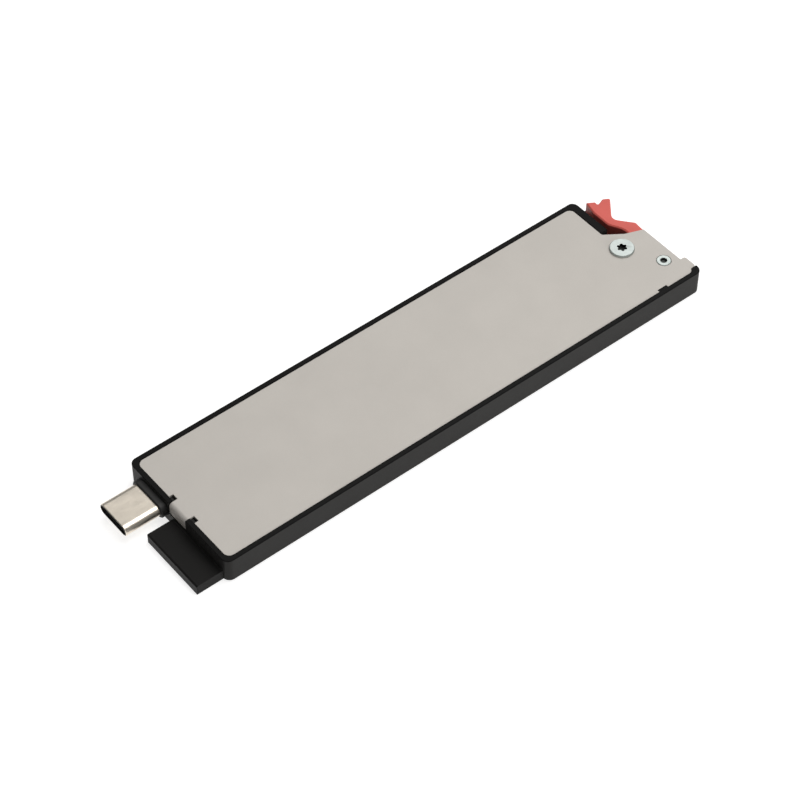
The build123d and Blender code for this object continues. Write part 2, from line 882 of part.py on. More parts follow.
bridge_chip.part.label = "bridge_chip"
export_step(bridge_chip.part, "parts/bridge_chip.step")

crystal_y = chip_y + (chip_width + crystal_width) / 2 + component_gap
with BuildPart() as clock_crystal:
    with Locations((bridge_x, crystal_y, board_top)):
        Box(
            crystal_length,
            crystal_width,
            crystal_height,
            align=(Align.CENTER, Align.CENTER, Align.MIN),
        )

clock_crystal.part.label = "clock_crystal"
export_step(clock_crystal.part, "parts/clock_crystal.step")

with BuildPart() as adapter_capacitors:
    for row_y in (
        crystal_y + crystal_width / 2 + component_gap + capacitor_pitch,
        chip_y - chip_width / 2 - component_gap - capacitor_pitch,
    ):
        with Locations((bridge_x, row_y, board_top)):
            with GridLocations(2 * capacitor_pitch, capacitor_pitch, 3, 2):
                Box(
                    capacitor_length,
                    capacitor_width,
                    capacitor_height,
                    align=(Align.CENTER, Align.CENTER, Align.MIN),
                )

adapter_capacitors.part.label = "adapter_capacitors"
export_step(adapter_capacitors.part, "parts/adapter_capacitors.step")


# Socket contacts: flat strips from the adapter board to the card's edge contacts
with BuildPart() as socket_contacts:
    strip_start = socket_back - socket_tail_length
    strip_end = card_near_end + finger_length / 2
    strip_faces = (
        board_top + finger_thickness,
        board_low - finger_thickness - socket_contact_thickness,
    )
    with Locations([(strip_start, y, z) for y in contact_places for z in strip_faces]):
        Box(
            strip_end - strip_start,
            socket_contact_width,
            socket_contact_thickness,
            align=(Align.MIN, Align.CENTER, Align.MIN),
        )

socket_contacts.part.label = "socket_contacts"
export_step(socket_contacts.part, "parts/socket_contacts.step")


# Card socket, straddling the edge of the adapter board
with BuildPart() as module_socket:
    slot_height = board_thickness + 2 * socket_clearance
    with Locations(((socket_back + socket_front) / 2, 0, plug_axis_height)):
        Box(
            socket_front - socket_back,
            card_width + 2 * socket_side_wall,
            board_thickness + 2 * socket_roof,
        )
    with Locations((socket_front, 0, plug_axis_height)):
        Box(
            2 * (socket_grip + socket_clearance),
            card_width + 2 * socket_clearance,
            slot_height,
            mode=Mode.SUBTRACT,
        )
    with Locations((socket_back, 0, plug_axis_height)):
        Box(
            2 * (socket_board_grip + socket_clearance),
            2 * board_half_width,
            slot_height,
            mode=Mode.SUBTRACT,
        )
    # Key that the card's notch slides over
    with Locations((card_near_end - socket_clearance, -key_offset, plug_axis_height)):
        Box(
            key_depth,
            key_width - 2 * socket_clearance,
            slot_height,
            align=(Align.MIN, Align.CENTER, Align.CENTER),
        )
    # Pocket on each side of the slot for a row of contacts
    with Locations([(socket_back, 0, z) for z in strip_faces]):
        Box(
            2 * (strip_end - socket_back),
            contact_places[-1] - contact_places[0] + 2 * socket_contact_width,
            socket_contact_thickness,
            align=(Align.CENTER, Align.CENTER, Align.MIN),
            mode=Mode.SUBTRACT,
        )

module_socket.part.label = "module_socket"
export_step(module_socket.part, "parts/module_socket.step")


# Drive card with its key notch and the half-round notch of its screw
with BuildPart() as drive_board:
    with BuildSketch(Plane.XY.offset(board_low)):
        with Locations(((card_near_end + card_far_end) / 2, 0)):
            Rectangle(card_length, card_width)
        with Locations((card_near_end, -key_offset)):
            Rectangle(2 * key_depth, key_width, mode=Mode.SUBTRACT)
        with Locations((card_far_end, 0)):
            Circle(card_notch_radius, mode=Mode.SUBTRACT)
    extrude(amount=board_thickness)

drive_board.part.label = "drive_board"
export_step(drive_board.part, "parts/drive_board.step")


# Edge contacts on both faces of the card
with BuildPart() as drive_edge_contacts:
    finger_faces = (board_top, board_low - finger_thickness)
    with Locations([(card_near_end, y, z) for y in contact_places for z in finger_faces]):
        Box(
            finger_length,
            finger_width,
            finger_thickness,
            align=(Align.MIN, Align.CENTER, Align.MIN),
        )

drive_edge_contacts.part.label = "drive_edge_contacts"
export_step(drive_edge_contacts.part, "parts/drive_edge_contacts.step")


# Packages on the card
with BuildPart() as controller_chip:
    with Locations((controller_x, 0, board_top)):
        Box(
            controller_length,
            controller_width,
            package_height,
            align=(Align.CENTER, Align.CENTER, Align.MIN),
        )

controller_chip.part.label = "controller_chip"
export_step(controller_chip.part, "parts/controller_chip.step")

with BuildPart() as memory_chip:
    with Locations((memory_x, 0, board_top)):
        Box(
            memory_length,
            memory_width,
            package_height,
            align=(Align.CENTER, Align.CENTER, Align.MIN),
        )

memory_chip.part.label = "memory_chip"
export_step(memory_chip.part, "parts/memory_chip.step")

with BuildPart() as flash_packages:
    with Locations((flash_x, 0, board_top)):
        with GridLocations(flash_pitch, flash_pitch, flash_count, 1):
            Box(
                flash_length,
                flash_width,
                package_height,
                align=(Align.CENTER, Align.CENTER, Align.MIN),
            )

flash_packages.part.label = "flash_packages"
export_step(flash_packages.part, "parts/flash_packages.step")

supply_x = (socket_front + controller_x - controller_length / 2) / 2
supply_y = -card_width / 2 + power_chip_inset
with BuildPart() as power_chip:
    with Locations((supply_x, supply_y, board_top)):
        Box(
            power_chip_width,
            power_chip_width,
            power_chip_height,
            align=(Align.CENTER, Align.CENTER, Align.MIN),
        )

power_chip.part.label = "power_chip"
export_step(power_chip.part, "parts/power_chip.step")

with BuildPart() as drive_capacitors:
    with Locations((supply_x, -supply_y / 2, board_top)):
        with GridLocations(2 * capacitor_pitch, capacitor_pitch, 2, 6):
            Box(
                capacitor_length,
                capacitor_width,
                capacitor_height,
                align=(Align.CENTER, Align.CENTER, Align.MIN),
            )
    with Locations((memory_x, 0, board_top)):
        with GridLocations(2 * capacitor_pitch, memory_width + 2 * component_gap, 3, 2):
            Box(
                capacitor_length,
                capacitor_width,
                capacitor_height,
                align=(Align.CENTER, Align.CENTER, Align.MIN),
            )

drive_capacitors.part.label = "drive_capacitors"
export_step(drive_capacitors.part, "parts/drive_capacitors.step")


# Soft pad between the packages and the cover
with BuildPart() as thermal_pad:
    with BuildSketch(Plane.XY.offset(package_top)):
        with Locations(((pad_start + pad_end) / 2, 0)):
            Rectangle(pad_end - pad_start, memory_width - 2 * pad_margin)
    extrude(amount=pad_thickness)

thermal_pad.part.label = "thermal_pad"
export_step(thermal_pad.part, "parts/thermal_pad.step")


# Insert and screw that hold the card's far end
with BuildPart() as drive_screw_insert:
    with BuildSketch(Plane.XY.offset(board_low)):
        with Locations((card_far_end, 0)):
            Circle(card_insert_radius)
    extrude(amount=-card_insert_height)
    with BuildSketch(Plane.XY.offset(board_low)):
        with Locations((card_far_end, 0)):
            Circle(card_notch_radius - socket_clearance)
    extrude(amount=board_thickness)
    with Locations((card_far_end, 0, board_top)):
        Hole(radius=card_screw_shank_radius + thread_clearance)

drive_screw_insert.part.label = "drive_screw_insert"
export_step(drive_screw_insert.part, "parts/drive_screw_insert.step")

with BuildPart() as drive_screw:
    with BuildSketch(Plane.XY.offset(board_top)):
        with Locations((card_far_end, 0)):
            Circle(card_screw_head_radius)
    extrude(amount=card_screw_head_height)
    with BuildSketch(Plane.XY.offset(board_top)):
        with Locations((card_far_end, 0)):
            Circle(card_screw_shank_radius)
    extrude(amount=-card_screw_length)

drive_screw.part.label = "drive_screw"
export_step(drive_screw.part, "parts/drive_screw.step")
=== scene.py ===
import math

import bpy
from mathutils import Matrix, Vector


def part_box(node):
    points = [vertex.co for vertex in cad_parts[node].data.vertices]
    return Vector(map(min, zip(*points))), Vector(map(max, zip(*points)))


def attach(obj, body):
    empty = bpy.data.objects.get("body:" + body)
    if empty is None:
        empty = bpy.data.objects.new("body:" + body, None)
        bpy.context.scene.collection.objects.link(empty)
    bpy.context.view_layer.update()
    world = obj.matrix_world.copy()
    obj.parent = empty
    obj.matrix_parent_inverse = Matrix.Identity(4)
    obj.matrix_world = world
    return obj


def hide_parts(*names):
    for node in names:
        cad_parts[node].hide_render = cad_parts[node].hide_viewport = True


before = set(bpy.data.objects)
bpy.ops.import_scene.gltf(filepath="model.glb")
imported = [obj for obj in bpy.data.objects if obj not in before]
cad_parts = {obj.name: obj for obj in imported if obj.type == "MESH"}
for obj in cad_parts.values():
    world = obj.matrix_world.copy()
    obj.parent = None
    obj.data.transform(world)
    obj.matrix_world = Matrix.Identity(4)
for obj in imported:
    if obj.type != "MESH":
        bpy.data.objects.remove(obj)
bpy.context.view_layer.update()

bl_info = {
    "name": "Drive canister",
    "version": (1, 0, 0),
    "blender": (4, 5, 0),
    "location": "View3D > Sidebar > Canister",
    "description": "Finishes a drive canister and sets up its studio",
    "category": "Object",
}

MM = 0.001

# The middle part of noise, where most of its values lie
NOISE_LOW = 0.3
NOISE_HIGH = 0.7

# Shares of their material's colour that single places get, all of them painted light or shade
# Painted light: the tray's walls are this many times lighter than its tongue, as if lit
TRAY_WALL_PAINTED_LIGHT_SHARE = 2.4
# Painted shade: the tray's rim is this share of its tongue's colour, as if shaded
TRAY_RIM_PAINTED_SHADE_SHARE = 0.5
# Painted shade: the inside of the plug's shell
SHELL_INSIDE_PAINTED_SHADE_SHARE = 0.06
# Painted shade: the cover screw's recess
SCREW_RECESS_PAINTED_SHADE_SHARE = 0.07
# Painted shade: the pivot pin's hollow
PIN_HOLLOW_PAINTED_SHADE_SHARE = 0.15

# How the copies are cleaned and their edges rounded
MERGE_DISTANCE = 0.002 * MM
FLAT_ANGLE = math.radians(0.5)
EDGE_ANGLE = math.radians(50)
SMOOTH_ANGLE = math.radians(35)
EDGE_STEPS = 3
ROUNDED = "_rounded"

# The floor's grey, the white that it shows the camera, and its distance below the tray
FLOOR_GREY = 0.5
FLOOR_GLOW = 0.72
FLOOR_GAP = 0.02 * MM

# Each lamp's name, its place as seen from the camera's target, its width and its colour
OVERHEAD_LAMP = ("overhead_lamp", (0.22, -0.04, 0.76), 0.7, (1.0, 0.985, 0.965))
FAR_LAMP = ("far_lamp", (0.50, 0.34, 0.52), 0.5, (0.97, 0.985, 1.0))
NEAR_SIDE_LAMP = ("near_side_lamp", (0.20, -0.78, 0.14), 0.4, (1.0, 0.985, 0.97))

SENSOR_WIDTH = 36.0
NEAREST_SEEN = 0.01


# Settings

class CanisterColours(bpy.types.PropertyGroup):
    """Colours of the canister's materials."""

    sheet: bpy.props.FloatVectorProperty(
        name="Cover sheet", description="Bead blasted cover",
        subtype="COLOR", size=3, default=(0.550, 0.524, 0.489),
    )
    # The tray's plain colour, which shows at the tongue; the walls get painted light and the rim
    # painted shade from it
    tray: bpy.props.FloatVectorProperty(
        name="Tray", description="Black moulded tray, at its guide tongue",
        subtype="COLOR", size=3, default=(0.0100, 0.0098, 0.0094),
    )
    lever: bpy.props.FloatVectorProperty(
        name="Lever", description="Red moulded lever",
        subtype="COLOR", size=3, default=(0.655, 0.122, 0.100),
    )
    nickel: bpy.props.FloatVectorProperty(
        name="Nickel", description="Plating of the plug's shell",
        subtype="COLOR", size=3, default=(0.850, 0.778, 0.672),
    )
    zinc: bpy.props.FloatVectorProperty(
        name="Zinc", description="Bright plating of screws and pin",
        subtype="COLOR", size=3, default=(0.605, 0.655, 0.632),
    )
    brass: bpy.props.FloatVectorProperty(
        name="Brass", description="Turned inserts",
        subtype="COLOR", size=3, default=(0.740, 0.540, 0.230),
    )
    gold: bpy.props.FloatVectorProperty(
        name="Gold", description="Plated contacts",
        subtype="COLOR", size=3, default=(0.860, 0.620, 0.240),
    )
    rubber: bpy.props.FloatVectorProperty(
        name="Collar", description="Black collar of the plug",
        subtype="COLOR", size=3, default=(0.010, 0.010, 0.010),
    )
    resist: bpy.props.FloatVectorProperty(
        name="Solder resist", description="Green coat of the boards",
        subtype="COLOR", size=3, default=(0.006, 0.060, 0.024),
    )
    resin: bpy.props.FloatVectorProperty(
        name="Chip resin", description="Moulded chip bodies",
        subtype="COLOR", size=3, default=(0.016, 0.016, 0.017),
    )
    ceramic: bpy.props.FloatVectorProperty(
        name="Capacitors", description="Ceramic bodies",
        subtype="COLOR", size=3, default=(0.420, 0.270, 0.150),
    )
    nylon: bpy.props.FloatVectorProperty(
        name="Washer", description="Natural nylon",
        subtype="COLOR", size=3, default=(0.700, 0.680, 0.620),
    )
    pad: bpy.props.FloatVectorProperty(
        name="Thermal pad", description="Soft filled silicone",
        subtype="COLOR", size=3, default=(0.300, 0.350, 0.400),
    )


class CanisterSizes(bpy.types.PropertyGroup):
    """Widths of the rounded edges, and the places where painted light and shade change a
    material's colour.
    """

    tray_edge: bpy.props.FloatProperty(
        name="Tray edges", description="Width of the tray's rounded edges",
        unit="LENGTH", default=0.10 * MM,
    )
    cover_edge: bpy.props.FloatProperty(
        name="Cover edges", description="Width of the cover's rounded edges",
        unit="LENGTH", default=0.06 * MM,
    )
    lever_edge: bpy.props.FloatProperty(
        name="Lever edges", description="Width of the lever's rounded edges",
        unit="LENGTH", default=0.12 * MM,
    )
    screw_edge: bpy.props.FloatProperty(
        name="Screw edges", description="Width of the cover screw's rounded edges",
        unit="LENGTH", default=0.05 * MM,
    )
    pin_edge: bpy.props.FloatProperty(
        name="Pin edges", description="Width of the pivot pin's rounded edges",
        unit="LENGTH", default=0.03 * MM,
    )
    collar_edge: bpy.props.FloatProperty(
        name="Collar edges", description="Width of the plug collar's rounded edges",
        unit="LENGTH", default=0.10 * MM,
    )
    # Band at the top of the tray that gets painted shade
    rim_band: bpy.props.FloatProperty(
        name="Rim band", description="Height of the tray's darker rim",
        unit="LENGTH", default=0.16 * MM,
    )
    # Where the painted light of the tray's walls stops and the tongue keeps the plain colour
    tongue_margin: bpy.props.FloatProperty(
        name="Tongue margin", description="From the cover's flange to the darker tongue",
        unit="LENGTH", default=0.3 * MM,
    )
    # Skin of the shell's wall that keeps the nickel colour; inside it, shade is painted
    shell_skin: bpy.props.FloatProperty(
        name="Shell skin", description="Bright outer part of the plug shell's wall",
        unit="LENGTH", default=0.09 * MM,
    )
    # Radius and lip depth of the painted shade in the cover screw's recess
    screw_recess: bpy.props.FloatProperty(
        name="Screw recess", description="Radius round the cover screw's recess",
        unit="LENGTH", default=1.06 * MM,
    )
    screw_lip: bpy.props.FloatProperty(
        name="Screw lip", description="Bright depth at the mouth of the screw's recess",
        unit="LENGTH", default=0.06 * MM,
    )
    # Radius and lip depth of the painted shade in the pivot pin's hollow
    pin_hollow: bpy.props.FloatProperty(
        name="Pin hollow", description="Radius round the pivot pin's hollow",
        unit="LENGTH", default=0.66 * MM,
    )
    pin_lip: bpy.props.FloatProperty(
        name="Pin lip", description="Bright depth at the mouth of the pin's hollow",
        unit="LENGTH", default=0.04 * MM,
    )


class CanisterStudio(bpy.types.PropertyGroup):
    """Camera, lamps and floor."""

    target: bpy.props.FloatVectorProperty(
        name="Target", description="Point that the camera looks at",
        subtype="TRANSLATION", unit="LENGTH", size=3, default=(-0.00797, -0.00232, 0.00270),
    )
    distance: bpy.props.FloatProperty(
        name="Distance", description="Camera to target",
        unit="LENGTH", default=0.46281,
    )
    heading: bpy.props.FloatProperty(
        name="Heading", description="Direction of view, counted from +X towards +Y",
        subtype="ANGLE", default=math.radians(51.155),
    )
    elevation: bpy.props.FloatProperty(
        name="Elevation", description="Height of the camera above the horizon",
        subtype="ANGLE", default=math.radians(48.743),
    )
    focal_length: bpy.props.FloatProperty(
        name="Focal length", description="In millimetres, on the camera's sensor",
        default=111.84,
    )
    sky: bpy.props.FloatProperty(
        name="Sky", description="Strength of the even light from all round", default=0.16,
    )
    overhead: bpy.props.FloatProperty(
        name="Overhead", description="Power of the lamp above the cover",
        unit="POWER", default=5.35,
    )
    far: bpy.props.FloatProperty(
        name="Far", description="Power of the lamp behind the lever's end",
        unit="POWER", default=0.55,
    )
    side: bpy.props.FloatProperty(
        name="Side", description="Power of the lamp on the near side",
        unit="POWER", default=3.2,
    )
    floor_size: bpy.props.FloatProperty(
        name="Floor", description="Length of the floor's sides", unit="LENGTH", default=6.0,
    )


# Node helpers

def times(colour, share):
    """The colour times a share, and white at most."""
    return [min(channel * share, 1.0) for channel in colour]


def parts_of(material):
    """A material's node tree and its principled shader."""
    return material.node_tree, material.node_tree.nodes["Principled BSDF"]


def new_finish(name, colour, metallic, roughness):
    """A material of one colour, with its node tree and its principled shader."""
    material = bpy.data.materials.new(name)
    material.use_nodes = True
    tree, shader = parts_of(material)
    shader.inputs["Base Color"].default_value = (*colour, 1.0)
    shader.inputs["Metallic"].default_value = metallic
    shader.inputs["Roughness"].default_value = roughness
    return material, tree, shader


def calculate(tree, operation, first, second=0.0):
    """The result of a math node on a value and on another value or a number."""
    node = tree.nodes.new("ShaderNodeMath")
    node.operation = operation
    tree.links.new(first, node.inputs[0])
    if isinstance(second, bpy.types.NodeSocket):
        tree.links.new(second, node.inputs[1])
    else:
        node.inputs[1].default_value = second
    return node.outputs[0]


def object_coordinates(tree, centre=(0, 0, 0), stretch=(1, 1, 1)):
    """Object coordinates, counted from a centre and stretched along each axis."""
    source = tree.nodes.new("ShaderNodeTexCoord")
    mapping = tree.nodes.new("ShaderNodeMapping")
    mapping.vector_type = "POINT"
    mapping.inputs["Location"].default_value = [-c * s for c, s in zip(centre, stretch)]
    mapping.inputs["Scale"].default_value = stretch
    tree.links.new(source.outputs["Object"], mapping.inputs["Vector"])
    return mapping.outputs["Vector"]


def axis_values(tree, centre=(0, 0, 0)):
    """Object coordinates along X, Y and Z, counted from a centre."""
    parts = tree.nodes.new("ShaderNodeSeparateXYZ")
    tree.links.new(object_coordinates(tree, centre), parts.inputs[0])
    return parts.outputs["X"], parts.outputs["Y"], parts.outputs["Z"]


def flat_length(tree, across, up):
    """Length of a flat vector, from its two values."""
    flat = tree.nodes.new("ShaderNodeCombineXYZ")
    tree.links.new(across, flat.inputs["X"])
    tree.links.new(up, flat.inputs["Y"])
    length = tree.nodes.new("ShaderNodeVectorMath")
    length.operation = "LENGTH"
    tree.links.new(flat.outputs[0], length.inputs[0])
    return length.outputs["Value"]


def noise(tree, vector, size, detail=2.0, rough=0.5):
    """Noise whose features are about the given size across."""
    texture = tree.nodes.new("ShaderNodeTexNoise")
    texture.inputs["Scale"].default_value = 1.0 / size
    texture.inputs["Detail"].default_value = detail
    texture.inputs["Roughness"].default_value = rough
    tree.links.new(vector, texture.inputs["Vector"])
    return texture.outputs["Fac"]


def vary_colour(tree, shader, value, colour, darker, lighter):
    """Lets noise move the shader's colour between a darker and a lighter share of it."""
    ramp = tree.nodes.new("ShaderNodeValToRGB")
    dark_end, light_end = ramp.color_ramp.elements
    dark_end.position = NOISE_LOW
    dark_end.color = (*times(colour, darker), 1.0)
    light_end.position = NOISE_HIGH
    light_end.color = (*times(colour, lighter), 1.0)
    tree.links.new(value, ramp.inputs["Fac"])
    tree.links.new(ramp.outputs["Color"], shader.inputs["Base Color"])


def vary_roughness(tree, shader, value, low, high):
    """Lets noise move the shader's roughness between two values."""
    node = tree.nodes.new("ShaderNodeMapRange")
    node.inputs["From Min"].default_value = NOISE_LOW
    node.inputs["From Max"].default_value = NOISE_HIGH
    node.inputs["To Min"].default_value = low
    node.inputs["To Max"].default_value = high
    tree.links.new(value, node.inputs["Value"])
    tree.links.new(node.outputs["Result"], shader.inputs["Roughness"])


def relief(tree, shader, height, depth, strength, below=None):
    """Gives the shader a bump of the given depth, over the one below it."""
    bump = tree.nodes.new("ShaderNodeBump")
    bump.inputs["Strength"].default_value = strength
    bump.inputs["Distance"].default_value = depth
    tree.links.new(height, bump.inputs["Height"])
    if below is not None:
        tree.links.new(below, bump.inputs["Normal"])
    tree.links.new(bump.outputs["Normal"], shader.inputs["Normal"])
    return bump.outputs["Normal"]


def recess_mask(tree, mouth, radius):
    """One inside a recess of a radius that goes down from its mouth, and zero elsewhere."""
    x, y, z = axis_values(tree, mouth)
    within = calculate(tree, "LESS_THAN", flat_length(tree, x, y), radius)
    below = calculate(tree, "LESS_THAN", z, 0.0)
    return calculate(tree, "MULTIPLY", within, below)


def recolour(tree, shader, mask, colour):
    """Puts a colour over the shader's own where the mask is one."""
    mix = tree.nodes.new("ShaderNodeMix")
    mix.data_type = "RGBA"
    tree.links.new(mask, mix.inputs["Factor"])
    tree.links.new(shader.inputs["Base Color"].links[0].from_socket, mix.inputs["A"])
    mix.inputs["B"].default_value = (*colour, 1.0)
    tree.links.new(mix.outputs["Result"], shader.inputs["Base Color"])


# Finishes

def blasted_sheet(colour):
    """Bead blasted sheet metal: fine dimples, a faint rolled grain and cloudy tone."""
    material, tree, shader = new_finish("blasted_sheet", colour, metallic=0.2, roughness=0.60)
    shader.inputs["Specular IOR Level"].default_value = 0.3
    vector = object_coordinates(tree)
    along = object_coordinates(tree, stretch=(0.06, 1.0, 1.0))
    clouds = noise(tree, vector, size=9 * MM, detail=3.0)
    dimples = noise(tree, vector, size=0.22 * MM)
    grain = noise(tree, along, size=0.35 * MM)
    vary_colour(tree, shader, clouds, colour, darker=0.975, lighter=1.02)
    vary_roughness(tree, shader, dimples, low=0.55, high=0.67)
    rolled = relief(tree, shader, grain, depth=0.004 * MM, strength=0.4)
    relief(tree, shader, dimples, depth=0.014 * MM, strength=0.8, below=rolled)
    return material


def moulded_plastic(name, colour, roughness, texture_depth, specular=0.5):
    """Moulded plastic with the fine texture of a spark eroded mould."""
    material, tree, shader = new_finish(name, colour, metallic=0.0, roughness=roughness)
    shader.inputs["Specular IOR Level"].default_value = specular
    vector = object_coordinates(tree)
    clouds = noise(tree, vector, size=6 * MM)
    pits = noise(tree, vector, size=0.18 * MM, detail=3.0, rough=0.6)
    vary_colour(tree, shader, clouds, colour, darker=0.94, lighter=1.06)
    vary_roughness(tree, shader, pits, low=roughness - 0.06, high=roughness + 0.08)
    relief(tree, shader, pits, depth=texture_depth, strength=0.7)
    return material


def tray_moulding_painted_light_and_shade(colour, rim_start, tongue_end):
    """Black moulding with painted light and shade: its walls painted lighter than its tongue, as
    lit, and its rim painted darker, as shaded.
    """
    material = moulded_plastic(
        "tray_plastic", times(colour, TRAY_WALL_PAINTED_LIGHT_SHARE),
        roughness=0.45, texture_depth=0.012 * MM, specular=0.10,
    )
    tree, shader = parts_of(material)
    x, _, z = axis_values(tree)
    # Painted light: the material holds the lit wall colour, and the tongue gets the tray's plain
    # colour
    recolour(tree, shader, calculate(tree, "LESS_THAN", x, tongue_end), colour)
    # Painted shade: the rim's top band is darker
    rim = calculate(tree, "GREATER_THAN", z, rim_start)
    recolour(tree, shader, rim, times(colour, TRAY_RIM_PAINTED_SHADE_SHARE))
    return material


def drawn_nickel(name, colour):
    """Nickel plate with faint lines along the draw."""
    material, tree, shader = new_finish(name, colour, metallic=1.0, roughness=0.36)
    along = object_coordinates(tree, stretch=(0.08, 1.0, 1.0))
    lines = noise(tree, along, size=0.20 * MM)
    clouds = noise(tree, object_coordinates(tree), size=2.5 * MM)
    vary_colour(tree, shader, clouds, colour, darker=0.96, lighter=1.03)
    vary_roughness(tree, shader, lines, low=0.32, high=0.42)
    relief(tree, shader, lines, depth=0.003 * MM, strength=0.5)
    return material


def plug_nickel(colour, skin):
    """Drawn nickel for the plug's shell, with painted shade from a skin of its wall inwards."""
    material = drawn_nickel("plug_nickel", colour)
    tree, shader = parts_of(material)
    low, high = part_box("plug_shell")
    round_end = (high.z - low.z) / 2
    straight = (high.y - low.y) / 2 - round_end
    _, y, z = axis_values(tree, (low + high) / 2)
    past_straight = calculate(tree, "SUBTRACT", calculate(tree, "ABSOLUTE", y), straight)
    across = calculate(tree, "MAXIMUM", past_straight, 0.0)
    # Painted shade inside the shell, past the skin of its wall
    inside = calculate(tree, "LESS_THAN", flat_length(tree, across, z), round_end - skin)
    recolour(tree, shader, inside, times(colour, SHELL_INSIDE_PAINTED_SHADE_SHARE))
    return material


def turned_metal(name, colour, roughness, centre):
    """Turned and plated metal with fine rings round its own axis."""
    material, tree, shader = new_finish(name, colour, metallic=1.0, roughness=roughness)
    vector = object_coordinates(tree, centre)
    rings = tree.nodes.new("ShaderNodeTexWave")
    rings.wave_type = "RINGS"
    rings.rings_direction = "Z"
    rings.inputs["Scale"].default_value = 1.0 / (2.4 * MM)
    rings.inputs["Distortion"].default_value = 1.5
    rings.inputs["Detail Scale"].default_value = 1.0
    tree.links.new(vector, rings.inputs["Vector"])
    clouds = noise(tree, vector, size=1.2 * MM)
    vary_colour(tree, shader, clouds, colour, darker=0.93, lighter=1.04)
    vary_roughness(tree, shader, clouds, low=roughness - 0.05, high=roughness + 0.06)
    relief(tree, shader, rings.outputs["Fac"], depth=0.004 * MM, strength=0.5)
    return material


def metal_with_painted_recess_shade(name, colour, node, radius, lip, share):
    """Turned metal with painted shade in the node's recess: a share of its colour below a lip."""
    low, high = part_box(node)
    centre = (low + high) / 2
    material = turned_metal(name, colour, roughness=0.42, centre=centre)
    tree, shader = parts_of(material)
    # Painted shade in the recess, below the lip
    mask = recess_mask(tree, (centre.x, centre.y, high.z - lip), radius)
    recolour(tree, shader, mask, times(colour, share))
    return material


def plated_contacts(colour):
    """Gold plate, slightly uneven."""
    material, tree, shader = new_finish("plated_contacts", colour, metallic=1.0, roughness=0.25)
    clouds = noise(tree, object_coordinates(tree), size=0.4 * MM)
    vary_colour(tree, shader, clouds, colour, darker=0.90, lighter=1.05)
    vary_roughness(tree, shader, clouds, low=0.18, high=0.34)
    return material


def coated_board(colour):
    """Glass resin board under solder resist, with copper tracks that stand up a little."""
    material, tree, shader = new_finish("coated_board", colour, metallic=0.0, roughness=0.35)
    tracks = tree.nodes.new("ShaderNodeTexBrick")
    tracks.inputs["Scale"].default_value = 1.0 / (2.0 * MM)
    tracks.inputs["Mortar Size"].default_value = 0.06
    for place, share in (("Color1", 0.9), ("Color2", 1.1), ("Mortar", 1.7)):
        tracks.inputs[place].default_value = (*times(colour, share), 1.0)
    tree.links.new(object_coordinates(tree), tracks.inputs["Vector"])
    tree.links.new(tracks.outputs["Color"], shader.inputs["Base Color"])
    relief(tree, shader, tracks.outputs["Fac"], depth=0.02 * MM, strength=0.5)
    shader.inputs["Coat Weight"].default_value = 0.4
    shader.inputs["Coat Roughness"].default_value = 0.15
    return material


# Dressing

def rounded(node, body, width, clamp=False):
    """Makes a copy of a CAD node with rounded edges, which rides on a body and stands for it."""
    piece = bpy.data.objects.new(node + ROUNDED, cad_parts[node].data.copy())
    bpy.context.scene.collection.objects.link(piece)
    bpy.ops.object.select_all(action="DESELECT")
    piece.select_set(True)
    bpy.context.view_layer.objects.active = piece
    bpy.ops.mesh.customdata_custom_splitnormals_clear()
    bpy.ops.object.mode_set(mode="EDIT")
    bpy.ops.mesh.select_all(action="SELECT")
    bpy.ops.mesh.remove_doubles(threshold=MERGE_DISTANCE)
    bpy.ops.mesh.dissolve_limited(angle_limit=FLAT_ANGLE)
    bpy.ops.object.mode_set(mode="OBJECT")
    edges = piece.modifiers.new("edges", "BEVEL")
    edges.width = width
    edges.segments = EDGE_STEPS
    edges.limit_method = "ANGLE"
    edges.angle_limit = EDGE_ANGLE
    edges.use_clamp_overlap = clamp
    bpy.ops.object.modifier_apply(modifier="edges")
    bpy.ops.object.shade_smooth_by_angle(angle=SMOOTH_ANGLE)
    normals = piece.modifiers.new("normals", "WEIGHTED_NORMAL")
    normals.keep_sharp = True
    bpy.ops.object.modifier_apply(modifier="normals")
    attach(piece, body)
    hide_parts(node)


def dress(material, *names):
    """Gives the material to CAD nodes, or to the rounded pieces that stand for them."""
    for name in names:
        piece = bpy.data.objects.get(name + ROUNDED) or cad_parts[name]
        for slot in piece.material_slots:
            slot.material = material


def middle(node):
    """Centre of a node's box, at rest."""
    low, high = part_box(node)
    return (low + high) / 2


class CANISTER_OT_tray(bpy.types.Operator):
    """Finishes the moulded tray."""

    bl_idname = "canister.tray"
    bl_label = "Tray"

    def execute(self, context):
        colours = context.scene.canister_colours
        sizes = context.scene.canister_sizes
        rounded("tray", "canister", sizes.tray_edge, clamp=True)
        # Where the rim's painted shade starts
        rim_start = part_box("tray")[1].z - sizes.rim_band
        # Where the walls' painted light ends at the tongue
        tongue_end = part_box("top_cover")[0].x - sizes.tongue_margin
        dress(tray_moulding_painted_light_and_shade(colours.tray, rim_start, tongue_end), "tray")
        return {"FINISHED"}


class CANISTER_OT_cover(bpy.types.Operator):
    """Finishes the sheet metal cover."""

    bl_idname = "canister.cover"
    bl_label = "Cover"

    def execute(self, context):
        colours = context.scene.canister_colours
        sizes = context.scene.canister_sizes
        rounded("top_cover", "canister", sizes.cover_edge)
        dress(blasted_sheet(colours.sheet), "top_cover")
        return {"FINISHED"}


class CANISTER_OT_lever(bpy.types.Operator):
    """Finishes the lever and the washer that it turns on."""

    bl_idname = "canister.lever"
    bl_label = "Lever"

    def execute(self, context):
        colours = context.scene.canister_colours
        sizes = context.scene.canister_sizes
        rounded("latch_lever", "lever", sizes.lever_edge)
        red = moulded_plastic(
            "lever_plastic", colours.lever,
            roughness=0.42, texture_depth=0.010 * MM, specular=0.35,
        )
        dress(red, "latch_lever")
        nylon = moulded_plastic(
            "washer_nylon", colours.nylon, roughness=0.5, texture_depth=0.004 * MM,
        )
        dress(nylon, "lever_washer")
        return {"FINISHED"}


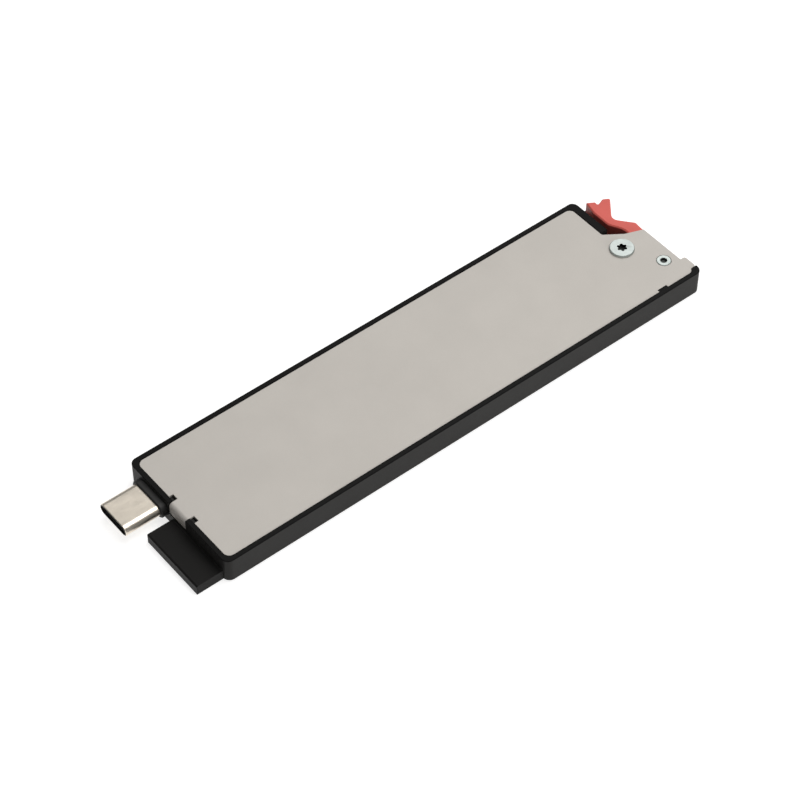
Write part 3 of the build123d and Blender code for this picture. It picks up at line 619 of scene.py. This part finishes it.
class CANISTER_OT_fasteners(bpy.types.Operator):
    """Finishes the screws, the inserts and the pivot pin."""

    bl_idname = "canister.fasteners"
    bl_label = "Fasteners"

    def execute(self, context):
        colours = context.scene.canister_colours
        sizes = context.scene.canister_sizes
        rounded("cover_screw", "canister", sizes.screw_edge)
        rounded("pivot_pin", "canister", sizes.pin_edge)
        # The screw's recess gets painted shade
        screw = metal_with_painted_recess_shade(
            "cover_screw_zinc", colours.zinc, "cover_screw",
            radius=sizes.screw_recess, lip=sizes.screw_lip, share=SCREW_RECESS_PAINTED_SHADE_SHARE,
        )
        dress(screw, "cover_screw")
        # The pin's hollow gets painted shade
        pin = metal_with_painted_recess_shade(
            "pivot_pin_zinc", colours.zinc, "pivot_pin",
            radius=sizes.pin_hollow, lip=sizes.pin_lip, share=PIN_HOLLOW_PAINTED_SHADE_SHARE,
        )
        dress(pin, "pivot_pin")
        for node in ("adapter_board_screws", "drive_screw"):
            zinc = turned_metal(node + "_zinc", colours.zinc, 0.3, middle(node))
            dress(zinc, node)
        for node in ("cover_screw_insert", "drive_screw_insert"):
            brass = turned_metal(node + "_brass", colours.brass, 0.3, middle(node))
            dress(brass, node)
        return {"FINISHED"}


class CANISTER_OT_plug(bpy.types.Operator):
    """Finishes the plug and its collar, and what shares their materials."""

    bl_idname = "canister.plug"
    bl_label = "Plug"

    def execute(self, context):
        colours = context.scene.canister_colours
        sizes = context.scene.canister_sizes
        rounded("plug_collar", "canister", sizes.collar_edge)
        dress(plug_nickel(colours.nickel, sizes.shell_skin), "plug_shell")
        dress(drawn_nickel("plain_nickel", colours.nickel), "plug_latch_plate", "clock_crystal")
        collar = moulded_plastic(
            "collar_rubber", colours.rubber, roughness=0.6, texture_depth=0.006 * MM,
        )
        dress(collar, "plug_collar")
        insulator = moulded_plastic(
            "insulator_plastic", colours.resin, roughness=0.5, texture_depth=0.003 * MM,
        )
        dress(insulator, "plug_insulator", "module_socket")
        return {"FINISHED"}


class CANISTER_OT_boards(bpy.types.Operator):
    """Finishes the boards, their chips and contacts, and the thermal pad."""

    bl_idname = "canister.boards"
    bl_label = "Boards"

    def execute(self, context):
        colours = context.scene.canister_colours
        dress(coated_board(colours.resist), "adapter_board", "drive_board")
        resin = moulded_plastic(
            "chip_resin", colours.resin, roughness=0.5, texture_depth=0.004 * MM,
        )
        dress(
            resin, "bridge_chip", "controller_chip", "memory_chip", "flash_packages", "power_chip",
        )
        ceramic = moulded_plastic(
            "capacitor_ceramic", colours.ceramic, roughness=0.4, texture_depth=0.002 * MM,
        )
        dress(ceramic, "adapter_capacitors", "drive_capacitors")
        gold = plated_contacts(colours.gold)
        dress(gold, "plug_contacts", "socket_contacts", "drive_edge_contacts")
        pad = moulded_plastic(
            "pad_silicone", colours.pad, roughness=0.7, texture_depth=0.010 * MM,
        )
        dress(pad, "thermal_pad")
        return {"FINISHED"}


# Studio

def emission(tree, strength):
    """White light that a surface gives off."""
    node = tree.nodes.new("ShaderNodeEmission")
    node.inputs["Color"].default_value = (1.0, 1.0, 1.0, 1.0)
    node.inputs["Strength"].default_value = strength
    return node.outputs[0]


def floor_material():
    """White floor that stays white to the camera and in reflections, and keeps the shadow."""
    material = bpy.data.materials.new("studio_floor")
    material.use_nodes = True
    tree = material.node_tree
    tree.nodes.clear()
    diffuse = tree.nodes.new("ShaderNodeBsdfDiffuse")
    diffuse.inputs["Color"].default_value = (FLOOR_GREY, FLOOR_GREY, FLOOR_GREY, 1.0)
    rays = tree.nodes.new("ShaderNodeLightPath").outputs
    mirrored = calculate(tree, "MAXIMUM", rays["Is Camera Ray"], rays["Is Glossy Ray"])
    seen = calculate(tree, "MAXIMUM", mirrored, rays["Is Transmission Ray"])
    glow = tree.nodes.new("ShaderNodeMixShader")
    tree.links.new(seen, glow.inputs["Fac"])
    tree.links.new(emission(tree, 0.0), glow.inputs[1])
    tree.links.new(emission(tree, FLOOR_GLOW), glow.inputs[2])
    total = tree.nodes.new("ShaderNodeAddShader")
    tree.links.new(diffuse.outputs[0], total.inputs[0])
    tree.links.new(glow.outputs[0], total.inputs[1])
    output = tree.nodes.new("ShaderNodeOutputMaterial")
    tree.links.new(total.outputs[0], output.inputs["Surface"])
    return material


def add_floor(size):
    """A floor just below the tray."""
    bpy.ops.object.select_all(action="DESELECT")
    bpy.ops.mesh.primitive_plane_add(size=size, location=(0, 0, -FLOOR_GAP))
    floor = bpy.context.object
    floor.name = "studio_floor"
    floor.data.materials.append(floor_material())


def add_sky(strength):
    """Even white light from all round."""
    world = bpy.data.worlds.new("studio_sky")
    world.use_nodes = True
    background = world.node_tree.nodes["Background"]
    background.inputs["Color"].default_value = (1.0, 1.0, 1.0, 1.0)
    background.inputs["Strength"].default_value = strength
    bpy.context.scene.world = world


def add_lamp(lamp_facts, aim, power, mirrored=True):
    """A square soft lamp that points at the aim, and shows in reflections or not."""
    name, offset, width, colour = lamp_facts
    location = aim + Vector(offset)
    towards = (aim - location).to_track_quat("-Z", "Y")
    bpy.ops.object.light_add(type="AREA", location=location, rotation=towards.to_euler())
    lamp = bpy.context.object
    lamp.name = name
    lamp.visible_glossy = mirrored
    lamp.data.shape = "SQUARE"
    lamp.data.size = width
    lamp.data.energy = power
    lamp.data.color = colour


def add_camera(aim, studio):
    """The camera, at the distance and angle from its aim that the studio gives."""
    look = Vector((
        math.cos(studio.heading) * math.cos(studio.elevation),
        math.sin(studio.heading) * math.cos(studio.elevation),
        -math.sin(studio.elevation),
    ))
    bpy.ops.object.camera_add(
        location=aim - look * studio.distance,
        rotation=look.to_track_quat("-Z", "Y").to_euler(),
    )
    camera = bpy.context.object
    camera.name = "studio_camera"
    camera.data.lens = studio.focal_length
    camera.data.sensor_width = SENSOR_WIDTH
    camera.data.clip_start = NEAREST_SEEN
    bpy.context.scene.camera = camera


class CANISTER_OT_studio(bpy.types.Operator):
    """Sets up the floor, the sky, the lamps and the camera."""

    bl_idname = "canister.studio"
    bl_label = "Studio"

    def execute(self, context):
        studio = context.scene.canister_studio
        aim = Vector(studio.target)
        add_floor(studio.floor_size)
        add_sky(studio.sky)
        add_lamp(OVERHEAD_LAMP, aim, studio.overhead)
        add_lamp(FAR_LAMP, aim, studio.far)
        add_lamp(NEAR_SIDE_LAMP, aim, studio.side, mirrored=False)
        add_camera(aim, studio)
        context.scene.view_settings.view_transform = "Standard"
        return {"FINISHED"}


class CANISTER_PT_panel(bpy.types.Panel):
    """Lists the canister's operators and settings."""

    bl_idname = "CANISTER_PT_panel"
    bl_label = "Drive canister"
    bl_space_type = "VIEW_3D"
    bl_region_type = "UI"
    bl_category = "Canister"

    def draw(self, context):
        layout = self.layout
        for operator in OPERATORS:
            layout.operator(operator.bl_idname)
        scene = context.scene
        for group in (scene.canister_colours, scene.canister_sizes, scene.canister_studio):
            for name in group.__annotations__:
                layout.prop(group, name)


OPERATORS = (
    CANISTER_OT_tray,
    CANISTER_OT_cover,
    CANISTER_OT_lever,
    CANISTER_OT_fasteners,
    CANISTER_OT_plug,
    CANISTER_OT_boards,
    CANISTER_OT_studio,
)
CLASSES = (CanisterColours, CanisterSizes, CanisterStudio, *OPERATORS, CANISTER_PT_panel)


def register():
    """Registers the classes and gives each scene its settings."""
    for cls in CLASSES:
        bpy.utils.register_class(cls)
    bpy.types.Scene.canister_colours = bpy.props.PointerProperty(type=CanisterColours)
    bpy.types.Scene.canister_sizes = bpy.props.PointerProperty(type=CanisterSizes)
    bpy.types.Scene.canister_studio = bpy.props.PointerProperty(type=CanisterStudio)


def unregister():
    """Takes back what register did."""
    del bpy.types.Scene.canister_studio
    del bpy.types.Scene.canister_sizes
    del bpy.types.Scene.canister_colours
    for cls in reversed(CLASSES):
        bpy.utils.unregister_class(cls)


def main():
    """Runs the operators in order."""
    register()
    bpy.ops.canister.tray()
    bpy.ops.canister.cover()
    bpy.ops.canister.lever()
    bpy.ops.canister.fasteners()
    bpy.ops.canister.plug()
    bpy.ops.canister.boards()
    bpy.ops.canister.studio()


if __name__ == "__main__":
    main()
